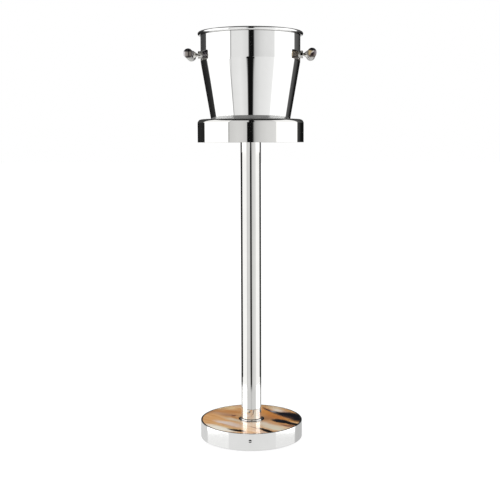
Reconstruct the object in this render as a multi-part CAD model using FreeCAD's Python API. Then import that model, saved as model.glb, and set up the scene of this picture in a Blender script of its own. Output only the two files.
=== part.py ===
import FreeCAD, Part
# Champagne bucket stand: a weighted base with a horn inlay, a steel column, a round holder
# and a loose steel bucket with two horn T-bar handles.
# Units are millimetres. +Z is up, +X points to the right handle, and -Y is the front.
# The origin is on the floor, under the middle of the base.

import math
import os

Vector = FreeCAD.Vector

# ---- Fits ----
FIT = 0.05                # radial clearance of a piece that is pressed, glued or screwed in
BUCKET_CLEARANCE = 0.6    # radial play of the loose bucket in the holder's hole
TUBE_CLEARANCE = 0.3      # radial play of the column in the horn disc and its backing
INLAY_CLEARANCE = 0.15    # radial play of the horn disc inside the band

# ---- Base ----
BASE_DIAMETER = 216.0
BASE_HEIGHT = 36.5        # floor to the top edge of the band
BAND_WALL = 2.0
BAND_FLOOR_GAP = 1.0      # the band ends this far above the floor
BAND_EDGE_RADIUS = 0.8
PAD_THICKNESS = 2.0
PAD_MARGIN = 3.0          # the pad's edge lies this far inside the band
COVER_THICKNESS = 2.0
HORN_RECESS = 0.3         # the horn disc lies this far below the band's edge
HORN_THICKNESS = 3.0
BACKING_THICKNESS = 3.0

# ---- Column ----
COLUMN_DIAMETER = 42.4
COLUMN_WALL = 1.5
COLUMN_EXPOSED = 588.0    # top edge of the base to the underside of the holder
PLUG_LENGTH = 30.0
FOOT_RING_WIDTH = 2.3     # the ring stands out this far from the column
FOOT_RING_HEIGHT = 3.0
FOOT_RING_RADIUS = 1.2

# ---- Column bolt, in from under the base ----
BOLT_DIAMETER = 12.0
BOLT_LENGTH = 30.0
BOLT_HEAD_FLATS = 18.0
BOLT_HEAD_HEIGHT = 7.5
WASHER_DIAMETER = 28.0
WASHER_THICKNESS = 2.5
BOLT_POCKET_DEPTH = 13.0
BOLT_WEB = 5.2            # iron left between the bolt's pocket and the column's socket
BOLT_POCKET_PLAY = 1.5

# ---- Countersunk screws: four in the base cover, four in the holder's floor ----
COVER_SCREW_DIAMETER = 4.0
COVER_SCREW_LENGTH = 12.0
COVER_SCREW_HEAD = 2.0    # depth of the countersunk head
COVER_SCREW_EDGE = 22.0   # screw centre to the band's inner wall
HOLDER_SCREW_DIAMETER = 6.0
HOLDER_SCREW_LENGTH = 18.0
HOLDER_SCREW_HEAD = 3.0
HOLDER_SCREW_EDGE = 7.5   # screw centre to the inner wall of the column
SCREW_COUNT = 4

# ---- Slotted screw at the front of the base ----
BAND_SCREW_HEIGHT = 21.0
BAND_SCREW_HEAD_DIAMETER = 8.5
BAND_SCREW_HEAD_SUNK = 0.6
BAND_SCREW_DOME = 1.5
BAND_SCREW_DIAMETER = 4.0
BAND_SCREW_LENGTH = 12.0
SLOT_WIDTH = 1.2
SLOT_DEPTH = 0.9

# ---- Holder ----
HOLDER_RING_WIDTH = 27.3  # the hole's edge to the outer wall
HOLDER_HEIGHT = 47.0
HOLDER_WALL = 2.0
HOLDER_SHOULDER_RADIUS = 8.0
HOLDER_LIP_RADIUS = 3.0
HOLDER_LIP_DEPTH = 10.0
HOLDER_FLOOR_THICKNESS = 4.0
SEAT_THICKNESS = 3.0
SEAT_MARGIN = 2.0         # the seat pad's edge lies this far inside the bucket's foot

# ---- Bucket ----
BUCKET_DIAMETER = 204.4   # outside the upright band under the rim
BUCKET_HEIGHT = 216.5
BUCKET_SHEET = 1.2
UPRIGHT_HEIGHT = 59.5     # the rim's top down to the bend where the cone starts
CONE_ANGLE = 9.9          # degrees between the cone's wall and the axis
BEND_RADIUS = 24.0
FOOT_RADIUS = 6.0
FOOT_WIDTH = 13.0
FOOT_HEIGHT = 3.0         # the middle of the bottom is raised this far
FOOT_SLOPE = 4.0
BEAD_DIAMETER = 6.95      # rolled rim
BEAD_TURN = 300.0         # degrees of the roll, from the inner wall over the top

# ---- Handles ----
HANDLE_BELOW_RIM = 45.0
BAR_GAP = 12.8            # room for fingers between the bucket's wall and the bar
BAR_DIAMETER = 19.2
BAR_LENGTH = 86.0
BAR_DOME = 2.6
BAR_EDGE_RADIUS = 2.4
BOSS_DIAMETER = 15.6
BOSS_LENGTH = 5.5
BOSS_EDGE_RADIUS = 1.0
NECK_DIAMETER = 5.8
NECK_LENGTH = 1.8
TRUMPET_DIAMETER = 17.6
TRUMPET_LENGTH = 8.0
TRUMPET_NECK_BLEND = 6.0
TRUMPET_RIM_BLEND = 4.0
STUD_DIAMETER = 4.0
STUD_PAST_BAR_AXIS = 3.0
SEAL_DIAMETER = 13.0
SEAL_THICKNESS = 1.5
NUT_FLATS = 8.0
NUT_HEIGHT = 3.5
NUT_DOME_RADIUS = 3.7
STUD_IN_NUT = 5.0

# ---- Heights and radii that follow from the sizes above ----
BAND_INNER = BASE_DIAMETER / 2 - BAND_WALL
CORE_BOTTOM = PAD_THICKNESS + COVER_THICKNESS
HORN_TOP = BASE_HEIGHT - HORN_RECESS
HORN_BOTTOM = HORN_TOP - HORN_THICKNESS
CORE_TOP = HORN_BOTTOM - BACKING_THICKNESS
COLUMN_RADIUS = COLUMN_DIAMETER / 2
COLUMN_BORE = COLUMN_RADIUS - COLUMN_WALL
POCKET_TOP = CORE_BOTTOM + BOLT_POCKET_DEPTH
COLUMN_BOTTOM = POCKET_TOP + BOLT_WEB
HOLDER_BOTTOM = BASE_HEIGHT + COLUMN_EXPOSED
HOLDER_TOP = HOLDER_BOTTOM + HOLDER_HEIGHT
SEAT_BOTTOM = HOLDER_BOTTOM + HOLDER_FLOOR_THICKNESS
BUCKET_BOTTOM = SEAT_BOTTOM + SEAT_THICKNESS
BUCKET_TOP = BUCKET_BOTTOM + BUCKET_HEIGHT
WALL_OUTER = BUCKET_DIAMETER / 2
WALL_INNER = WALL_OUTER - BUCKET_SHEET
BEND_HEIGHT = BUCKET_TOP - UPRIGHT_HEIGHT
BEAD_RADIUS = BEAD_DIAMETER / 2
BEAD_HEIGHT = BUCKET_TOP - BEAD_RADIUS
HANDLE_HEIGHT = BUCKET_TOP - HANDLE_BELOW_RIM
BAR_RADIUS = BAR_DIAMETER / 2
BAR_AXIS = WALL_OUTER + BAR_GAP + BAR_RADIUS
BOSS_END = WALL_OUTER + BOSS_LENGTH


def cone_radius(height):
    """Outer radius of the bucket's cone at a height above the floor."""
    return WALL_OUTER - (BEND_HEIGHT - height) * math.tan(math.radians(CONE_ANGLE))


BUCKET_FOOT_RADIUS = cone_radius(BUCKET_BOTTOM)
HOLE_RADIUS = cone_radius(HOLDER_TOP) + BUCKET_CLEARANCE
HOLDER_RADIUS = HOLE_RADIUS + HOLDER_RING_WIDTH
HOLDER_INNER = HOLDER_RADIUS - HOLDER_WALL


# ---- Shape helpers ----
def rounded_corner(before, corner, after, radius):
    """Start, middle and end of the arc that rounds a corner between two straight runs."""
    back = (before - corner).normalize()
    ahead = (after - corner).normalize()
    half = back.getAngle(ahead) / 2
    middle = (back + ahead).normalize()
    centre = corner + middle * (radius / math.sin(half))
    reach = radius / math.tan(half)
    return corner + back * reach, centre - middle * radius, corner + ahead * reach


def profile(points, radii):
    """Closed face in the XZ plane from (radius, height) corners; radii rounds some of them."""
    corners = [Vector(r, 0, z) for r, z in points]
    edges = []
    starts = []
    ends = []
    for i, corner in enumerate(corners):
        if i in radii:
            after = corners[(i + 1) % len(corners)]
            start, middle, end = rounded_corner(corners[i - 1], corner, after, radii[i])
            edges.append(Part.Arc(start, middle, end).toShape())
        else:
            start = corner
            end = corner
        starts.append(start)
        ends.append(end)
    for i, end in enumerate(ends):
        edges.append(Part.LineSegment(end, starts[(i + 1) % len(starts)]).toShape())
    return Part.Face(Part.Wire(Part.sortEdges(edges)[0]))


def turned(points, radii=None):
    """Solid of revolution about Z from (radius, height) corners."""
    return profile(points, radii or {}).revolve(Vector(0, 0, 0), Vector(0, 0, 1), 360)


def ring(outer, inner, bottom, top, radii=None):
    """Flat ring. Corners in order: lower inner, lower outer, upper outer, upper inner."""
    return turned([(inner, bottom), (outer, bottom), (outer, top), (inner, top)], radii)


def rod(radius, bottom, top):
    """Upright cylinder about Z."""
    return Part.makeCylinder(radius, top - bottom, Vector(0, 0, bottom))


def hexagon(flats, bottom, top):
    """Upright hexagonal prism about Z."""
    radius = flats / math.sqrt(3)
    angles = [math.radians(60 * i) for i in range(7)]
    points = [Vector(radius * math.cos(a), radius * math.sin(a), bottom) for a in angles]
    return Part.Face(Part.makePolygon(points)).extrude(Vector(0, 0, top - bottom))


def offset_line(points, distance):
    """Corners of a line of (radius, height) points, moved to its left by a distance."""
    runs = []
    for (r0, z0), (r1, z1) in zip(points, points[1:]):
        share = distance / math.hypot(r1 - r0, z1 - z0)
        shift_r = (z0 - z1) * share
        shift_z = (r1 - r0) * share
        runs.append((r0 + shift_r, z0 + shift_z, r1 - r0, z1 - z0))
    moved = [(runs[0][0], runs[0][1])]
    for (r0, z0, dr0, dz0), (r1, z1, dr1, dz1) in zip(runs, runs[1:]):
        along = ((r1 - r0) * dz1 - (z1 - z0) * dr1) / (dr0 * dz1 - dz0 * dr1)
        moved.append((r0 + dr0 * along, z0 + dz0 * along))
    last = runs[-1]
    moved.append((last[0] + last[2], last[1] + last[3]))
    return moved


def around(shape, count, radius, first_angle):
    """Copies of a shape, set evenly on a circle about Z."""
    copies = []
    for i in range(count):
        copy = shape.translated(Vector(radius, 0, 0))
        copies.append(copy.rotate(Vector(0, 0, 0), Vector(0, 0, 1), first_angle + 360 / count * i))
    return copies


def cut_all(shape, tools):
    """A shape with every tool cut out of it."""
    for tool in tools:
        shape = shape.cut(tool)
    return shape


def countersunk(diameter, length, head, bottom, play=0.0):
    """Upright countersunk screw whose flat head is its lower end; play widens it for a hole."""
    shank = diameter / 2 + play
    corners = [(0, bottom), (shank + head, bottom), (shank, bottom + head)]
    return turned(corners + [(shank, bottom + length), (0, bottom + length)])


def flipped(shape, height):
    """A shape turned upside down about a level plane."""
    return shape.rotated(Vector(0, 0, height), Vector(1, 0, 0), 180)


def to_front(shape, height):
    """A piece turned about Z, laid along -Y at a height."""
    laid = shape.rotated(Vector(0, 0, 0), Vector(1, 0, 0), 90)
    return laid.translated(Vector(0, 0, height))


def to_side(shape, side):
    """A piece turned about Z, laid along +X (side 1) or -X (side -1) at the handles' height."""
    laid = shape.rotated(Vector(0, 0, 0), Vector(0, 1, 0), 90 * side)
    return laid.translated(Vector(0, 0, HANDLE_HEIGHT))


# ---- Base ----
def base_band():
    edges = {1: BAND_EDGE_RADIUS, 2: BAND_EDGE_RADIUS, 3: BAND_EDGE_RADIUS / 2}
    band = ring(BASE_DIAMETER / 2, BAND_INNER, BAND_FLOOR_GAP, BASE_HEIGHT, edges)
    return cut_all(band, band_screw_holes())


def cover_screw_radius():
    return BAND_INNER - COVER_SCREW_EDGE


def cover_screws(play=0.0):
    screw = countersunk(COVER_SCREW_DIAMETER, COVER_SCREW_LENGTH, COVER_SCREW_HEAD, PAD_THICKNESS, play)
    return around(screw, SCREW_COUNT, cover_screw_radius(), 45)


def base_core():
    core = rod(BAND_INNER - FIT, CORE_BOTTOM, CORE_TOP)
    pocket = rod(WASHER_DIAMETER / 2 + BOLT_POCKET_PLAY, CORE_BOTTOM, POCKET_TOP)
    socket = rod(COLUMN_RADIUS + FIT, COLUMN_BOTTOM, CORE_TOP)
    bolt_hole = rod(BOLT_DIAMETER / 2 + FIT, CORE_BOTTOM, CORE_TOP)
    tools = [pocket, socket, bolt_hole] + cover_screws(FIT) + band_screw_holes()
    return cut_all(core, tools)


def base_cover():
    plate = rod(BAND_INNER - FIT, PAD_THICKNESS, CORE_BOTTOM)
    return cut_all(plate, cover_screws(FIT))


def base_pad():
    return rod(BAND_INNER - PAD_MARGIN, 0, PAD_THICKNESS)


def inlay_backing():
    return ring(BAND_INNER - FIT, COLUMN_RADIUS + TUBE_CLEARANCE, CORE_TOP, HORN_BOTTOM)


def horn_disc():
    outer = BAND_INNER - INLAY_CLEARANCE
    return ring(outer, COLUMN_RADIUS + TUBE_CLEARANCE, HORN_BOTTOM, HORN_TOP)


def band_screw_head_seat():
    """Distance from the axis to the underside of the front screw's head."""
    return BASE_DIAMETER / 2 - BAND_SCREW_HEAD_SUNK


def band_screw_holes():
    seat = band_screw_head_seat()
    head = rod(BAND_SCREW_HEAD_DIAMETER / 2 + FIT, seat, BASE_DIAMETER / 2 + BAND_SCREW_DOME)
    shank = rod(BAND_SCREW_DIAMETER / 2 + FIT, seat - BAND_SCREW_LENGTH, seat)
    return [to_front(head, BAND_SCREW_HEIGHT), to_front(shank, BAND_SCREW_HEIGHT)]


def band_screw():
    seat = band_screw_head_seat()
    head = BAND_SCREW_HEAD_DIAMETER / 2
    top = seat + BAND_SCREW_DOME
    ball = (head ** 2 + BAND_SCREW_DOME ** 2) / (2 * BAND_SCREW_DOME)
    dome = Part.makeSphere(ball, Vector(0, 0, top - ball)).common(rod(head, seat, top))
    slot = Part.makeBox(2 * head, SLOT_WIDTH, SLOT_DEPTH, Vector(-head, -SLOT_WIDTH / 2, top - SLOT_DEPTH))
    shank = rod(BAND_SCREW_DIAMETER / 2, seat - BAND_SCREW_LENGTH, seat)
    return to_front(dome.cut(slot).fuse(shank).removeSplitter(), BAND_SCREW_HEIGHT)


# ---- Column ----
def column_tube():
    return ring(COLUMN_RADIUS, COLUMN_BORE, COLUMN_BOTTOM, HOLDER_BOTTOM)


def column_foot_ring():
    inner = COLUMN_RADIUS + FIT
    edges = {1: FOOT_RING_RADIUS / 2, 2: FOOT_RING_RADIUS}
    return ring(COLUMN_RADIUS + FOOT_RING_WIDTH, inner, HORN_TOP, HORN_TOP + FOOT_RING_HEIGHT, edges)


def column_plug_lower():
    return ring(COLUMN_BORE - FIT, BOLT_DIAMETER / 2 + FIT, COLUMN_BOTTOM, COLUMN_BOTTOM + PLUG_LENGTH)


def column_plug_upper():
    plug = rod(COLUMN_BORE - FIT, HOLDER_BOTTOM - PLUG_LENGTH, HOLDER_BOTTOM)
    return cut_all(plug, holder_screws(FIT))


def column_washer():
    bottom = POCKET_TOP - WASHER_THICKNESS
    return ring(WASHER_DIAMETER / 2, BOLT_DIAMETER / 2 + FIT, bottom, POCKET_TOP)


def column_bolt():
    head_top = POCKET_TOP - WASHER_THICKNESS
    head = hexagon(BOLT_HEAD_FLATS, head_top - BOLT_HEAD_HEIGHT, head_top)
    return head.fuse(rod(BOLT_DIAMETER / 2, head_top, head_top + BOLT_LENGTH))


# ---- Holder ----
def holder_shell():
    outside = [
        (HOLDER_RADIUS, HOLDER_BOTTOM),
        (HOLDER_RADIUS, HOLDER_TOP),
        (HOLE_RADIUS, HOLDER_TOP),
        (HOLE_RADIUS, HOLDER_TOP - HOLDER_LIP_DEPTH),
    ]
    inside = offset_line(outside, HOLDER_WALL)
    rounds = {
        1: HOLDER_SHOULDER_RADIUS,
        2: HOLDER_LIP_RADIUS,
        5: HOLDER_LIP_RADIUS - HOLDER_WALL,
        6: HOLDER_SHOULDER_RADIUS - HOLDER_WALL,
    }
    return turned(outside + inside[::-1], rounds)


def holder_screws(play=0.0):
    screw = countersunk(HOLDER_SCREW_DIAMETER, HOLDER_SCREW_LENGTH, HOLDER_SCREW_HEAD, SEAT_BOTTOM, play)
    return around(flipped(screw, SEAT_BOTTOM), SCREW_COUNT, COLUMN_BORE - HOLDER_SCREW_EDGE, 45)


def holder_floor():
    plate = rod(HOLDER_INNER - FIT, HOLDER_BOTTOM, SEAT_BOTTOM)
    return cut_all(plate, holder_screws(FIT))


def seat_pad():
    return rod(BUCKET_FOOT_RADIUS - SEAT_MARGIN, SEAT_BOTTOM, BUCKET_BOTTOM)


# ---- Bucket ----
def bucket_outline():
    """Corners of the bucket's outer face, from the middle of its bottom to its rim."""
    foot = BUCKET_FOOT_RADIUS - FOOT_WIDTH
    return [
        (0, BUCKET_BOTTOM + FOOT_HEIGHT),
        (foot - FOOT_SLOPE, BUCKET_BOTTOM + FOOT_HEIGHT),
        (foot, BUCKET_BOTTOM),
        (BUCKET_FOOT_RADIUS, BUCKET_BOTTOM),
        (WALL_OUTER, BEND_HEIGHT),
        (WALL_OUTER, BEAD_HEIGHT),
    ]


def rolled_rim():
    """Bead that the sheet makes as it rolls outward from the top of the wall."""
    middle = Vector(WALL_INNER + BEAD_RADIUS, 0, BEAD_HEIGHT)
    inner = BEAD_RADIUS - BUCKET_SHEET
    rays = []
    for turn in (0, BEAD_TURN / 2, BEAD_TURN):
        angle = math.radians(180 - turn)
        rays.append(Vector(math.cos(angle), 0, math.sin(angle)))
    outer_arc = [middle + ray * BEAD_RADIUS for ray in rays]
    inner_arc = [middle + ray * inner for ray in rays]
    edges = [
        Part.Arc(*outer_arc).toShape(),
        Part.LineSegment(outer_arc[2], inner_arc[2]).toShape(),
        Part.Arc(*inner_arc).toShape(),
        Part.LineSegment(inner_arc[0], outer_arc[0]).toShape(),
    ]
    face = Part.Face(Part.Wire(Part.sortEdges(edges)[0]))
    return face.revolve(Vector(0, 0, 0), Vector(0, 0, 1), 360)


def bucket_shell():
    outside = bucket_outline()
    inside = offset_line(outside, BUCKET_SHEET)
    sheet = BUCKET_SHEET
    rounds = {
        1: FOOT_HEIGHT / 2 + sheet,
        2: FOOT_HEIGHT / 2,
        3: FOOT_RADIUS,
        4: BEND_RADIUS,
        7: BEND_RADIUS - sheet,
        8: FOOT_RADIUS - sheet,
        9: FOOT_HEIGHT / 2 + sheet,
        10: FOOT_HEIGHT / 2,
    }
    shell = turned(outside + inside[::-1], rounds).fuse(rolled_rim()).removeSplitter()
    holes = [to_side(rod(STUD_DIAMETER / 2 + FIT, 0, BOSS_END), side) for side in (1, -1)]
    return cut_all(shell, holes)


# ---- Handles: turned about Z with heights measured out from the bucket's axis ----
def bucket_wall_tool(radius):
    """Upright cylinder that shapes the faces which lie against the bucket's wall."""
    return rod(radius, HANDLE_HEIGHT - BUCKET_DIAMETER, HANDLE_HEIGHT + BUCKET_DIAMETER)


def bar_tool(side, radius):
    """Level cylinder along Y about a bar's centre line."""
    start = Vector(side * BAR_AXIS, -BAR_LENGTH, HANDLE_HEIGHT)
    return Part.makeCylinder(radius, 2 * BAR_LENGTH, start, Vector(0, 1, 0))


def handle_boss(side):
    inner = STUD_DIAMETER / 2 + FIT
    boss = ring(BOSS_DIAMETER / 2, inner, WALL_INNER, BOSS_END, {2: BOSS_EDGE_RADIUS})
    return to_side(boss, side).cut(bucket_wall_tool(WALL_OUTER + FIT))


def handle_stem(side):
    bore = STUD_DIAMETER / 2 + FIT
    neck = NECK_DIAMETER / 2
    rim = TRUMPET_DIAMETER / 2
    neck_end = BOSS_END + NECK_LENGTH
    corners = [
        (bore, BOSS_END),
        (neck, BOSS_END),
        (neck, neck_end),
        (rim, neck_end + TRUMPET_LENGTH),
        (rim, BAR_AXIS),
        (bore, BAR_AXIS),
    ]
    stem = turned(corners, {2: TRUMPET_NECK_BLEND / 2, 3: TRUMPET_RIM_BLEND})
    return to_side(stem, side).cut(bar_tool(side, BAR_RADIUS + FIT))


def stud_end():
    """Distance from the bucket's axis to the stud's outer end, inside the bar."""
    return BAR_AXIS + STUD_PAST_BAR_AXIS


def nut_seat():
    """Distance from the bucket's axis to the face of the seal that the nut presses on."""
    return WALL_INNER - SEAL_THICKNESS


def handle_bar(side):
    half = BAR_LENGTH / 2
    ball = (BAR_RADIUS ** 2 + BAR_DOME ** 2) / (2 * BAR_DOME)
    bar = rod(BAR_RADIUS, -half, half)
    bar = bar.common(Part.makeSphere(ball, Vector(0, 0, half - ball)).fuse(rod(ball, -half, half - ball)))
    bar = bar.common(Part.makeSphere(ball, Vector(0, 0, ball - half)).fuse(rod(ball, ball - half, half)))
    rims = [e for e in bar.Edges if abs(e.BoundBox.ZLength) < 0.01 and e.BoundBox.XLength > BAR_RADIUS]
    bar = bar.makeFillet(BAR_EDGE_RADIUS, rims)
    bar = bar.rotated(Vector(0, 0, 0), Vector(1, 0, 0), 90)
    bar = bar.translated(Vector(side * BAR_AXIS, 0, HANDLE_HEIGHT))
    return bar.cut(to_side(rod(STUD_DIAMETER / 2 + FIT, BOSS_END, stud_end()), side))


def handle_stud(side):
    return to_side(rod(STUD_DIAMETER / 2, nut_seat() - STUD_IN_NUT, stud_end()), side)


def handle_seal(side):
    seal = ring(SEAL_DIAMETER / 2, STUD_DIAMETER / 2 + FIT, nut_seat(), WALL_OUTER)
    return to_side(seal, side).common(bucket_wall_tool(WALL_INNER - FIT))


def handle_nut(side):
    seat = nut_seat()
    dome_base = seat - NUT_HEIGHT
    body = hexagon(NUT_FLATS, dome_base, seat)
    ball = Part.makeSphere(NUT_DOME_RADIUS, Vector(0, 0, dome_base))
    dome = ball.common(rod(NUT_DOME_RADIUS, dome_base - NUT_DOME_RADIUS, dome_base))
    bore = rod(STUD_DIAMETER / 2 + FIT, seat - STUD_IN_NUT, seat)
    return to_side(body.fuse(dome).cut(bore), side)


def nodes():
    """Every sub-part by name; a list is a group of equal pieces."""
    found = {
        "base_pad": base_pad(),
        "base_cover": base_cover(),
        "cover_screws": cover_screws(),
        "base_core": base_core(),
        "base_band": base_band(),
        "band_screw": band_screw(),
        "inlay_backing": inlay_backing(),
        "horn_disc": horn_disc(),
        "column_foot_ring": column_foot_ring(),
        "column_tube": column_tube(),
        "column_plug_lower": column_plug_lower(),
        "column_plug_upper": column_plug_upper(),
        "column_washer": column_washer(),
        "column_bolt": column_bolt(),
        "holder_shell": holder_shell(),
        "holder_floor": holder_floor(),
        "holder_screws": holder_screws(),
        "seat_pad": seat_pad(),
        "bucket_shell": bucket_shell(),
    }
    for word, side in (("right", 1), ("left", -1)):
        found["handle_boss_" + word] = handle_boss(side)
        found["handle_stem_" + word] = handle_stem(side)
        found["handle_bar_" + word] = handle_bar(side)
        found["handle_stud_" + word] = handle_stud(side)
        found["handle_seal_" + word] = handle_seal(side)
        found["handle_nut_" + word] = handle_nut(side)
    return found


def main():
    os.makedirs("parts", exist_ok=True)
    for name, shape in nodes().items():
        if isinstance(shape, list):
            shape = Part.makeCompound(shape)
        shape.exportStep(os.path.join("parts", name + ".step"))
        print(name, len(shape.Solids), "solids", round(shape.Volume), "mm3", shape.isValid())


main()
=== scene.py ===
import math

import bmesh
import bpy
from mathutils import Matrix, Vector


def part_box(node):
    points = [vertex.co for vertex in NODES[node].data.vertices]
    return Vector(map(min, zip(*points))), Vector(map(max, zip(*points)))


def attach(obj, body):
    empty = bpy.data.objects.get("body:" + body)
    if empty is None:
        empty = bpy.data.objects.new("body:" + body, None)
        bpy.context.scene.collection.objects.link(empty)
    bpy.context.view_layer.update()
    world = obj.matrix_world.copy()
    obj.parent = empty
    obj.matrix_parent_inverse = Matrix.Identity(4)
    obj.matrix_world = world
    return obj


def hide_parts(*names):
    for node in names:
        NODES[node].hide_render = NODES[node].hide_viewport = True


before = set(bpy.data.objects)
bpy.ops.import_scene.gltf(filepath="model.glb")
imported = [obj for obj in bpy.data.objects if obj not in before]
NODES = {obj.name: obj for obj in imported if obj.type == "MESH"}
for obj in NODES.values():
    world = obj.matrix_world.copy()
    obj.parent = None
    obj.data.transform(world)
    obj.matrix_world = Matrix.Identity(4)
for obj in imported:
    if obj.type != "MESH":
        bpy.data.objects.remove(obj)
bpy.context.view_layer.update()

MM = 0.001
SIDES = ("right", "left")
WHITE = (1, 1, 1)

# ---- Camera and studio ----
CAMERA_LENS = 66.33         # mm
SENSOR_WIDTH = 36.0         # mm
CAMERA_DISTANCE = 1.923     # from the column's axis
CAMERA_HEIGHT = 0.620
CAMERA_PITCH = 6.53         # degrees below level
CAMERA_AZIMUTH = 1.5        # degrees to the right of the object's front
CAMERA_ROLL = 0.17
CAMERA_YAW = 0.062          # degrees that the column stands right of the picture's middle
NEAR_FLOOR_RADIUS = 0.50    # the glossy sheet that the stand is on
NEAR_FLOOR_FADE = (0.37, 0.47)  # radii between which it fades out
FLAG_DISTANCE = 0.52        # black strips beside the column, from its axis
FLAG_TOP = 0.600
LEFT_FLAG = (-125.0, -108.5)    # bearings of its ends, in degrees to the right from the camera's side
RIGHT_FLAG = (110.0, 125.0)
FLOOR_RADIUS = 30.0
FLOOR_DROP = 0.2 * MM       # from the pad's underside to the floor that the camera sees

# ---- Sizes that the frame's boxes don't give ----
BAND_WALL = 2.0 * MM
BAND_EDGE = 0.8 * MM
COLUMN_WALL = 1.5 * MM
RING_EDGE = 1.2 * MM
RING_GAP = 0.05 * MM        # between the tube and the foot ring
HORN_GAP = 0.3 * MM         # between the tube and the horn
HORN_EDGE = 0.25 * MM
HOLDER_WALL = 2.0 * MM
SHOULDER_RADIUS = 8.0 * MM
LIP_RADIUS = 3.0 * MM
LIP_DEPTH = 10.0 * MM
RING_WIDTH = 27.3 * MM
SHEET = 1.2 * MM
UPRIGHT_HEIGHT = 59.5 * MM
CONE_ANGLE = math.radians(9.9)
BEND_RADIUS = 24.0 * MM
FOOT_RADIUS = 6.0 * MM
FOOT_WIDTH = 13.0 * MM
FOOT_HEIGHT = 3.0 * MM
FOOT_SLOPE = 4.0 * MM
BEAD_RADIUS = 3.475 * MM
BEAD_END = -120.0           # degrees, where the rolled sheet ends
BAR_DOME = 2.6 * MM
BAR_EDGE = 2.4 * MM
SLOT_DROP = 0.3 * MM        # of the painted slot highlight, below the band screw's middle
SLOT_HALF = (0.85 * MM, 0.60 * MM)  # half heights at which the painted slot highlight starts and is full
RING_POLISH = 38.0          # degrees up the holder's shoulder at which its mirror polish ends and the satin steel with painted shade starts
CREVICE = 0.6 * MM          # strip of wall under the rolled rim, painted dark as shade where the rim meets the wall
OUTER_SHADE_LINE = 104.6 * MM      # radius at which the inlay's painted shade at its outer edge starts
FOOT_SHADE_WIDTH = 4.0 * MM       # painted shade line on the inlay round the foot ring
FOOT_LINE = 0.9 * MM        # strip of tube over the foot ring, painted dark as shade where the tube meets the ring
SEGMENTS = 320              # around the turned pieces
FEW_SEGMENTS = 96           # around the horn bars and the floor
ARC_STEP = 5.0              # degrees between rings on a rounded edge
TINY = 1e-6                 # metres; places closer than this are the same
SHADED_TOP_TILT = 0.3             # a face that gets the satin steel with painted shade has a normal pointing up by more than this


# ---- Outlines: lists of spans (start, start normal, end, end normal) in (radius, height) ----
def straight(p, q):
    """One span from p to q; the face looks to the right of the way from p to q."""
    d = (Vector(q) - Vector(p)).normalized()
    normal = Vector((d.y, -d.x))
    return [(Vector(p), normal, Vector(q), normal)]


def arc(centre, radius, start, end, outward=True):
    """Spans along an arc between two angles in degrees; outward faces look away from its centre."""
    count = max(2, math.ceil(abs(end - start) / ARC_STEP))
    angles = [math.radians(start + (end - start) * i / count) for i in range(count + 1)]
    rays = [Vector((math.cos(a), math.sin(a))) for a in angles]
    sign = 1 if outward else -1
    c = Vector(centre)
    return [
        (c + r0 * radius, r0 * sign, c + r1 * radius, r1 * sign)
        for r0, r1 in zip(rays, rays[1:])
    ]


def outline(corners, radii=None, closed=True):
    """Spans along straight runs between corners; radii rounds some of them."""
    radii = radii or {}
    points = [Vector(c) for c in corners]
    count = len(points)
    pieces = []
    for i, corner in enumerate(points):
        if i not in radii:
            pieces.append((corner, [], corner))
            continue
        back = (points[i - 1] - corner).normalized()
        ahead = (points[(i + 1) % count] - corner).normalized()
        half = back.angle(ahead) / 2
        centre = corner + (back + ahead).normalized() * (radii[i] / math.sin(half))
        reach = radii[i] / math.tan(half)
        first = corner + back * reach
        last = corner + ahead * reach
        left_turn = back.x * ahead.y - back.y * ahead.x < 0
        a0 = math.degrees(math.atan2(*(first - centre).yx))
        a1 = math.degrees(math.atan2(*(last - centre).yx))
        turn = (a1 - a0 + 180) % 360 - 180
        pieces.append((first, arc(centre, radii[i], a0, a0 + turn, left_turn), last))
    spans = []
    for i, (first, curve, last) in enumerate(pieces):
        spans += curve
        if closed or i < count - 1:
            spans += straight(last, pieces[(i + 1) % count][0])
    return spans


def offset_line(points, distance):
    """Corners of a line of (radius, height) points, moved to its left by a distance."""
    runs = []
    for p, q in zip(points, points[1:]):
        d = Vector(q) - Vector(p)
        shift = Vector((-d.y, d.x)).normalized() * distance
        runs.append((Vector(p) + shift, d))
    moved = [runs[0][0]]
    for (p, d), (q, e) in zip(runs, runs[1:]):
        along = ((q.x - p.x) * e.y - (q.y - p.y) * e.x) / (d.x * e.y - d.y * e.x)
        moved.append(p + d * along)
    return moved + [runs[-1][0] + runs[-1][1]]


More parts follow.
